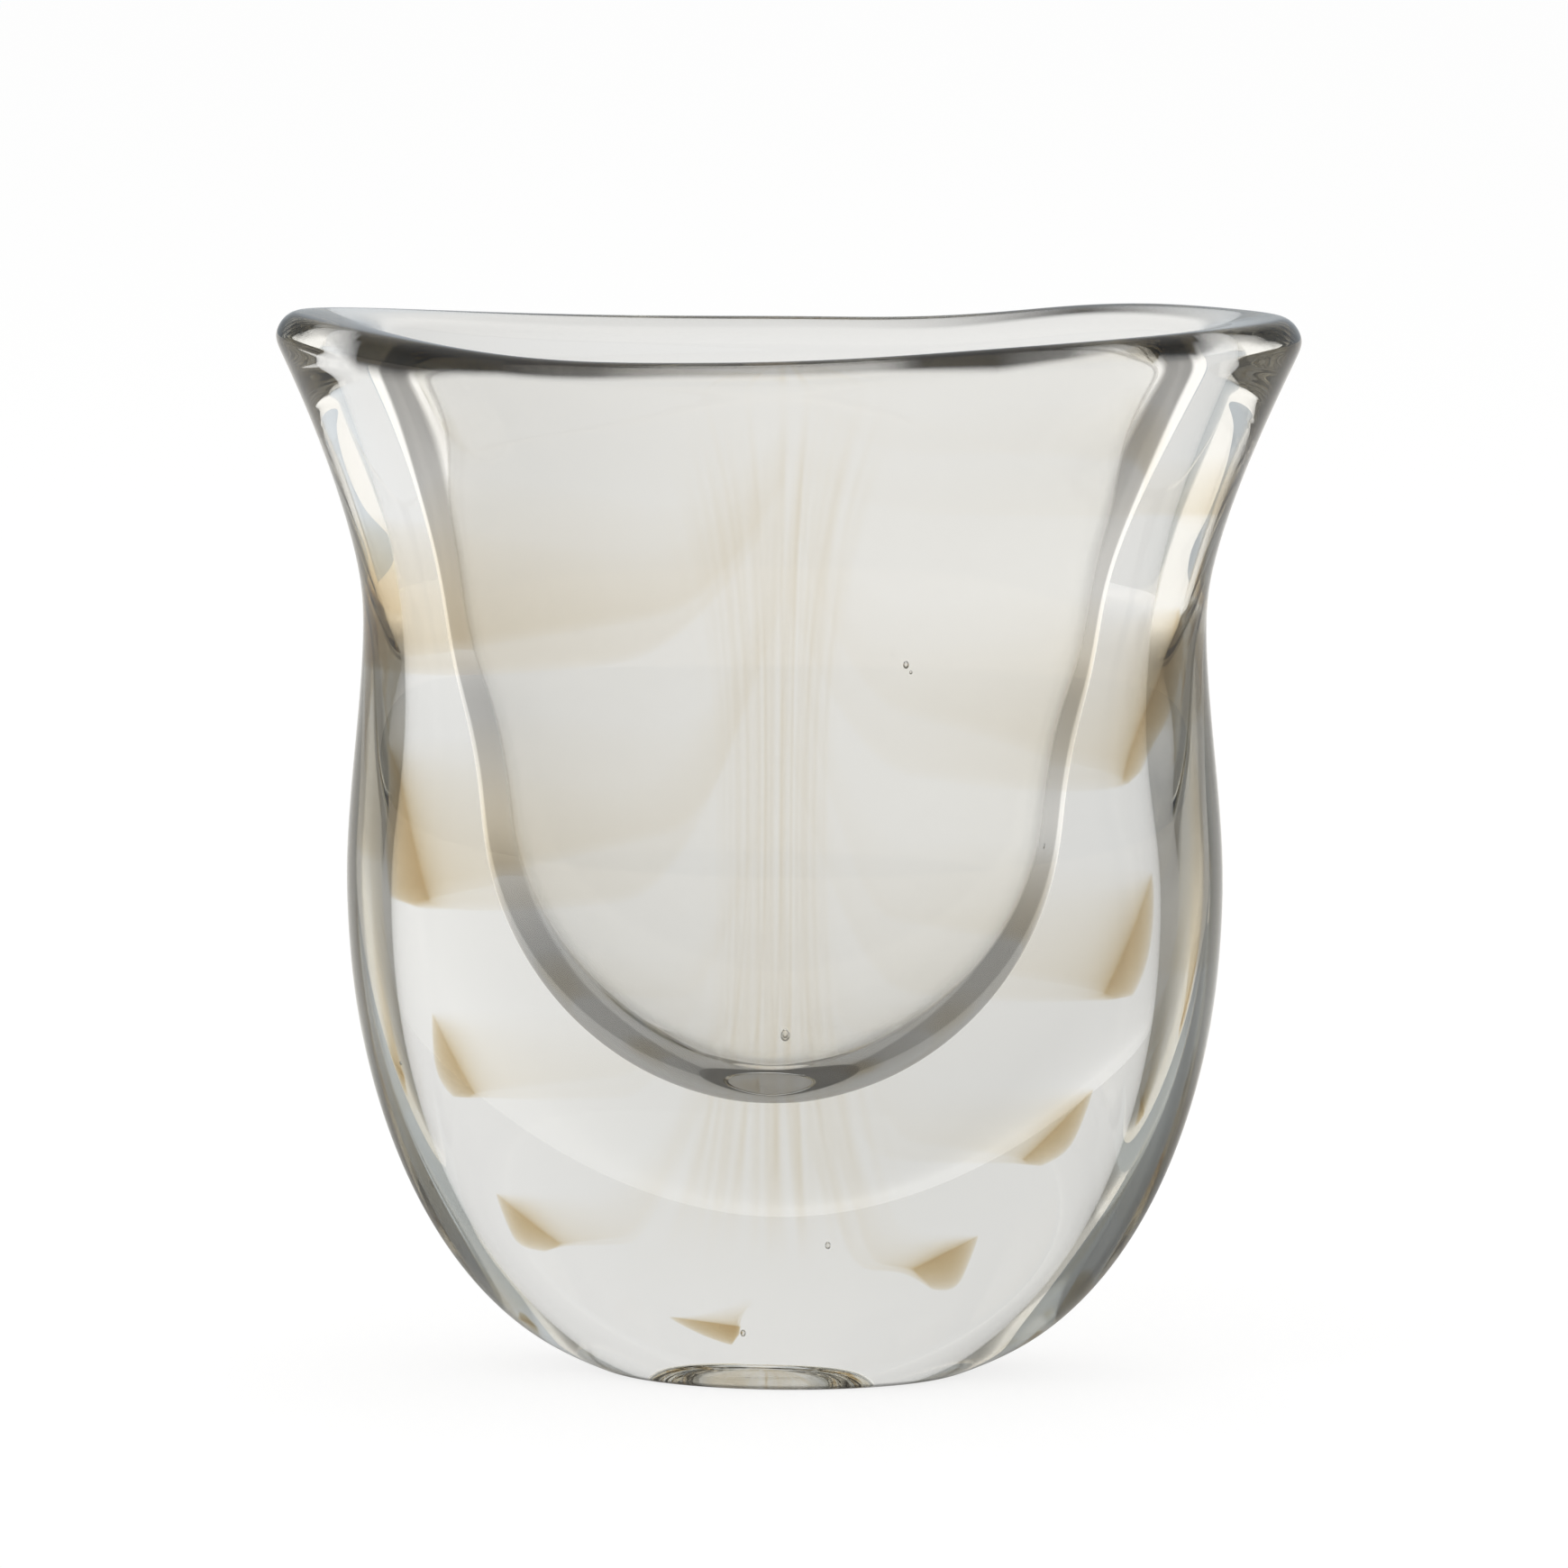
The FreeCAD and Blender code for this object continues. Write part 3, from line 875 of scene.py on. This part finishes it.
def clear_glass(name, tint):
    material, nodes, links = new_material(name)
    glass = nodes["Principled BSDF"]
    glass.inputs["Roughness"].default_value = 0.0
    glass.inputs["IOR"].default_value = 1.5
    glass.inputs["Transmission Weight"].default_value = 1
    marks = nodes.new("ShaderNodeGroup")
    marks.node_tree = glass_marks
    marks.inputs["Clear Tint"].default_value = (*tint, 1)
    marks.inputs["Painted Shade"].default_value = (*painted_shade_color, 1)
    # The Base Color carries the tint and the painted shade of the dark lines.
    links.new(marks.outputs["Tint"], glass.inputs["Base Color"])
    path = nodes.new("ShaderNodeLightPath")
    shadow = maths(nodes, links, "MULTIPLY", path.outputs["Is Shadow Ray"], open_to_shadow)
    closed = maths(nodes, links, "SUBTRACT", 1, shadow)
    alpha = maths(nodes, links, "MULTIPLY", marks.outputs["Bare"], closed)
    links.new(alpha, glass.inputs["Alpha"])
    add_absorption(nodes, links, batch_color, batch_density)
    return material


casing.data.materials.append(clear_glass("casing_glass", casing_tint))
gather.data.materials.append(clear_glass("gather_glass", gather_tint))
print("glass: %s, %s" % (casing.data.materials[0].name, gather.data.materials[0].name))

# %% [markdown]
# The amber lies inside clear glass that bends light just as much, so its surface doesn't show and
# Alpha is 0. All of its colour is in the volume, which makes a thin haze pale and a sliver that is
# seen edge on dark brown.

# %% Amber glass
amber_color, amber_density = (0.73, 0.58, 0.27), 110


def amber_glass(name):
    material, nodes, links = new_material(name)
    nodes["Principled BSDF"].inputs["Base Color"].default_value = (*amber_color, 1)
    nodes["Principled BSDF"].inputs["Alpha"].default_value = 0
    add_absorption(nodes, links, amber_color, amber_density)
    return material


amber = amber_glass("amber_glass")
for swag in swags + comb_lines:
    swag.data.materials.append(amber)
print("amber: %d pieces" % len(swags + comb_lines))

# %% [markdown]
# ## Riding on the frame
#
# Every piece rides on the vase's one body, and stands for the solid it replaces.

# %% Fit the pieces to the frame
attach(casing, "root")
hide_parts("outer_casing")
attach(gather, "root")
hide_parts("inner_gather")
for lines in comb_lines:
    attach(lines, "root")
for (name, *_), swag in zip(SWAGS, swags):
    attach(swag, "root")
    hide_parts(name)
print("replaced: %d solids" % (2 + len(swags)))

# %% [markdown]
# ## The floor
#
# Glass shows what stands round it, so the floor and the world are a part of how the vase looks.
# The floor is white paper, and it glows with a tone of its own by three kinds of ray, partly
# painted light and shade. Rays that a surface mirrored see it dark close to the foot, a painted
# shade, and bright further off. Rays through the glass see it a little darker on the left, a
# painted shade, and bright under the hollow of the foot, a painted light. Far away it has the tone
# of the world, so that no horizon shows in the base.

# %% White floor
floor_drop = 0.1 * MM
paper_shade = (0.25, 0.25, 0.25)
camera_tone = (0.76, 0.76, 0.76)
# Painted shade near the foot and on the left, and painted light under the hollow.
mirrored_tone, mirrored_far, mirrored_shares = (1.0, 0.975, 0.93), (0.12, 0.3), (0.2, 0.95)
through_tone, through_sides, through_shares = (1, 1, 0.99), (-0.3, 0.3), (0.52, 0.72)
hollow_painted_light, hollow_edge = (0.97, 0.95, 0.92), (0.018, 0.023)
horizon_tone, horizon_far = (0.755, 0.755, 0.75), (0.65, 2.6)
BLACK = (0, 0, 0)


def light_paths(nodes, links):
    """Read whether a ray comes from the camera, and whether a surface has mirrored it."""
    path = nodes.new("ShaderNodeLightPath")
    mirrored = maths(nodes, links, "MINIMUM", path.outputs["Glossy Depth"], 1)
    return path.outputs["Is Camera Ray"], mirrored


def separate(nodes, links, vector):
    node = nodes.new("ShaderNodeSeparateXYZ")
    links.new(vector, node.inputs[0])
    return node.outputs


def floor_tone(nodes, links):
    seen_directly, mirrored = light_paths(nodes, links)
    place = nodes.new("ShaderNodeTexCoord").outputs["Object"]
    length = nodes.new("ShaderNodeVectorMath")
    length.operation = "LENGTH"
    links.new(place, length.inputs[0])
    distance = length.outputs["Value"]
    # Painted shade: mirrored rays see the floor dark close to the foot.
    far = map_range(nodes, links, distance, mirrored_far, mirrored_shares)
    warm = mix_colors(nodes, links, far, BLACK, mirrored_tone)
    # Painted shade on the left for rays through the glass.
    across = separate(nodes, links, place)["X"]
    side = map_range(nodes, links, across, through_sides, through_shares)
    through = mix_colors(nodes, links, side, BLACK, through_tone)
    # Painted light under the hollow of the foot.
    beyond = map_range(nodes, links, distance, hollow_edge)
    through = mix_colors(nodes, links, beyond, hollow_painted_light, through)
    horizon = map_range(nodes, links, distance, horizon_far)
    through = mix_colors(nodes, links, horizon, through, horizon_tone)
    seen = mix_colors(nodes, links, seen_directly, through, camera_tone)
    return mix_colors(nodes, links, mirrored, seen, warm)


def build_floor():
    deselect()
    bpy.ops.mesh.primitive_plane_add(size=12, location=(0, 0, -floor_drop))
    floor = bpy.context.object
    floor.name = "floor"
    material, nodes, links = new_material("floor_white")
    paper = nodes["Principled BSDF"]
    paper.inputs["Base Color"].default_value = (*paper_shade, 1)
    paper.inputs["Specular IOR Level"].default_value = 0
    paper.inputs["Roughness"].default_value = 1
    links.new(floor_tone(nodes, links), paper.inputs["Emission Color"])
    paper.inputs["Emission Strength"].default_value = 1
    floor.data.materials.append(material)
    return floor


floor = build_floor()
print("floor: %.0f m wide" % floor.dimensions.x)

# %% [markdown]
# ## The world
#
# The world is white to the camera, and close to it through the glass, with a lighter right side.
# What the glass mirrors is a room: cooler and dimmer on the left, with a bright ceiling ahead and a
# dark one to the sides. That gives the flared ends of the mouth their light and dark streaks.

# %% White world with a room in it
plain_tones = ((0.82, 0.82, 0.81), (0.96, 0.96, 0.96))
room_tones = ((0.52, 0.56, 0.59), (0.82, 0.88, 0.94))
ceiling_tones, ceiling_sides = ((1, 1, 0.98), (0.38, 0.40, 0.42)), (0.3, 0.6)
ceiling_starts = (0.25, 0.75)
WHITE = (1, 1, 1)


def build_world():
    world = bpy.data.worlds.new("studio")
    bpy.context.scene.world = world
    world.use_nodes = True
    nodes, links = world.node_tree.nodes, world.node_tree.links
    seen_directly, mirrored = light_paths(nodes, links)
    towards = separate(nodes, links, nodes.new("ShaderNodeTexCoord").outputs["Generated"])
    right = maths(nodes, links, "MULTIPLY_ADD", towards["X"], 0.5, 0.5)
    sideways = maths(nodes, links, "ABSOLUTE", towards["X"])
    sideways = map_range(nodes, links, sideways, ceiling_sides)
    upper = map_range(nodes, links, towards["Z"], ceiling_starts)
    ceiling = mix_colors(nodes, links, sideways, *ceiling_tones)
    room = mix_colors(nodes, links, right, *room_tones)
    room = mix_colors(nodes, links, upper, room, ceiling)
    plain = mix_colors(nodes, links, right, *plain_tones)
    plain = mix_colors(nodes, links, seen_directly, plain, WHITE)
    tone = mix_colors(nodes, links, mirrored, plain, room)
    links.new(tone, nodes["Background"].inputs["Color"])
    return world


print("world: %s" % build_world().name)

# %% [markdown]
# Two soft lamps add the shadow on the floor. The glass doesn't show them, because the room above
# already gives it its lights.

# %% Lamps
LAMPS = [
    # name, place, size in metres and power in watts
    ("left_softbox", (-1.3, -0.9, 1.3), (0.5, 0.9), 6),
    ("top_softbox", (0.2, 0.3, 1.6), (1.2, 0.5), 3),
]
lamp_aim = Vector((0, 0, 0.1))


def add_lamp(name, place, size, power):
    data = bpy.data.lights.new(name, "AREA")
    data.shape = "RECTANGLE"
    data.size, data.size_y = size
    data.energy = power
    lamp = bpy.data.objects.new(name, data)
    bpy.context.scene.collection.objects.link(lamp)
    lamp.visible_glossy = lamp.visible_transmission = False
    lamp.location = place
    lamp.rotation_euler = (lamp_aim - Vector(place)).to_track_quat("-Z", "Y").to_euler()
    return lamp


for row in LAMPS:
    print("lamp: %s" % add_lamp(*row).name)

# %% [markdown]
# ## The camera
#
# The photograph was taken from a little to the right of the front and a little above the mouth,
# from far away with a long lens, so the vase's upright lines stay upright.

# %% Camera
camera_azimuth = math.radians(4)
camera_elevation = math.radians(8.3)
camera_distance = 2.2
frame_width = 279.5 * MM
look_at = Vector((0, 0, 105.6 * MM))


def build_camera():
    data = bpy.data.cameras.new("camera")
    camera = bpy.data.objects.new("camera", data)
    bpy.context.scene.collection.objects.link(camera)
    back = Vector((
        math.sin(camera_azimuth) * math.cos(camera_elevation),
        -math.cos(camera_azimuth) * math.cos(camera_elevation),
        math.sin(camera_elevation),
    ))
    camera.location = look_at + back * camera_distance
    camera.rotation_euler = (-back).to_track_quat("-Z", "Y").to_euler()
    data.lens = data.sensor_width * camera_distance / frame_width
    bpy.context.scene.camera = camera
    return camera


print("camera: lens of %.0f mm" % build_camera().data.lens)

# %% [markdown]
# Light crosses a dozen surfaces on its way through the layers and the pocket, so it needs more
# bounces than plain pieces do.

# %% Render settings
scene = bpy.context.scene
scene.view_settings.view_transform = "Standard"
scene.cycles.max_bounces = 32
scene.cycles.transmission_bounces = 32
scene.cycles.glossy_bounces = 24
scene.cycles.transparent_max_bounces = 64
